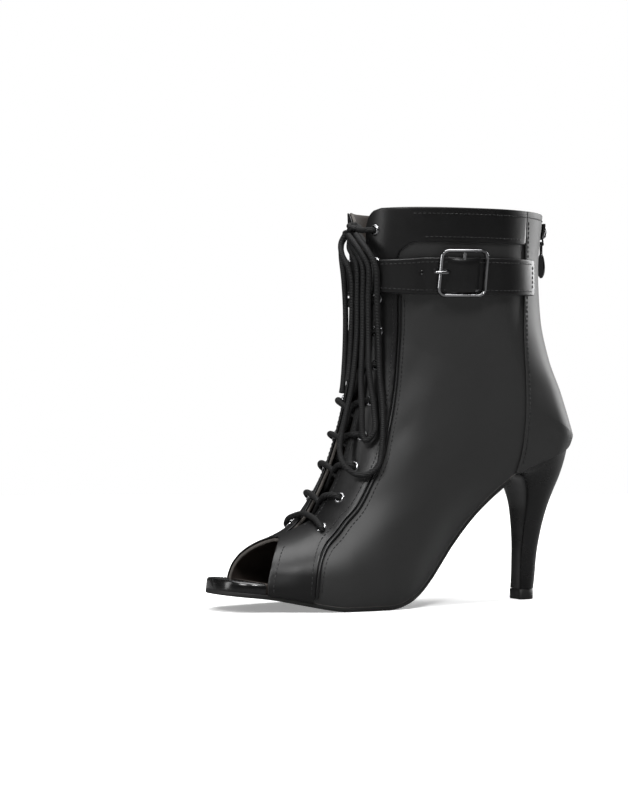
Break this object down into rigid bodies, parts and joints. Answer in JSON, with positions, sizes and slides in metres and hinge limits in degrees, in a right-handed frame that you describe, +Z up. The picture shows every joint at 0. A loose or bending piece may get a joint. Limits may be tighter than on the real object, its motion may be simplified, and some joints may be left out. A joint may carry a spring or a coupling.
{
  "type": "high heel peep toe ankle boot",
  "caption": "Left peep-toe ankle boot with a stiletto heel, front lacing, a buckled ankle strap and a back zip.",
  "frame": {"origin": "centre of the heel's tip where it stands on the floor", "axes": "-X towards the toe, -Y towards the outer side of the foot, +Z up"},
  "size_m": [0.2143, 0.0845, 0.212],
  "materials": {
    "black_leather": "smooth full-grain look, black, semi-gloss with soft highlights",
    "gunmetal": "dark polished gunmetal with bright highlights",
    "silver": "bright nickel, worn a little",
    "heel_cover": "black covered heel, smooth semi-gloss",
    "insole_sock": "soft dark brown sock, with a glossy black wrapped lip at the toe",
    "lace_cord": "round braided black lace",
    "sole_black": "thin black rubber outsole, satin, fine grip pattern",
    "leather_edge": "folded black leather edge, semi-gloss",
    "lift_black": "hard black top lift, matte",
    "zip_cloth": "black woven tape with closed coil teeth"
  },
  "bodies": {
    "boot": {"back_panel_inner": "black_leather", "back_panel_outer": "black_leather", "buckle_frame": "gunmetal", "buckle_prong": "gunmetal", "eyelet_inner_1": "silver", "eyelet_inner_10": "silver", "eyelet_inner_2": "silver", "eyelet_inner_3": "silver", "eyelet_inner_4": "silver", "eyelet_inner_5": "silver", "eyelet_inner_6": "silver", "eyelet_inner_7": "silver", "eyelet_inner_8": "silver", "eyelet_inner_9": "silver", "eyelet_outer_1": "silver", "eyelet_outer_10": "silver", "eyelet_outer_2": "silver", "eyelet_outer_3": "silver", "eyelet_outer_4": "silver", "eyelet_outer_5": "silver", "eyelet_outer_6": "silver", "eyelet_outer_7": "silver", "eyelet_outer_8": "silver", "eyelet_outer_9": "silver", "eyestay_inner": "black_leather", "eyestay_outer": "black_leather", "heel": "heel_cover", "insole": "insole_sock", "lace_bar": "lace_cord", "lace_cross_1": "lace_cord", "lace_cross_2": "lace_cord", "lace_cross_3": "lace_cord", "lace_cross_4": "lace_cord", "lace_cross_5": "lace_cord", "lace_cross_6": "lace_cord", "lace_cross_7": "lace_cord", "lace_cross_8": "lace_cord", "lace_cross_9": "lace_cord", "lace_end_inner": "lace_cord", "lace_end_outer": "lace_cord", "lace_knot": "lace_cord", "lace_loop_inner": "lace_cord", "lace_loop_outer": "lace_cord", "outsole": "sole_black", "piping_inner": "leather_edge", "piping_outer": "leather_edge", "strap_front": "black_leather", "strap_rear": "black_leather", "top_lift": "lift_black", "upper": "black_leather", "zip_slider": "gunmetal", "zip_tape": "zip_cloth"},
    "zip_pull": {"zip_pull": "gunmetal"}
  },
  "joints": [
    {"name": "zip_pull_swing", "type": "hinge", "parent": "boot", "child": "zip_pull", "pos_m": [0.01177, 0, 0.1972], "axis": [0, -1, 0], "range_deg": [0, 120]}
  ]
}
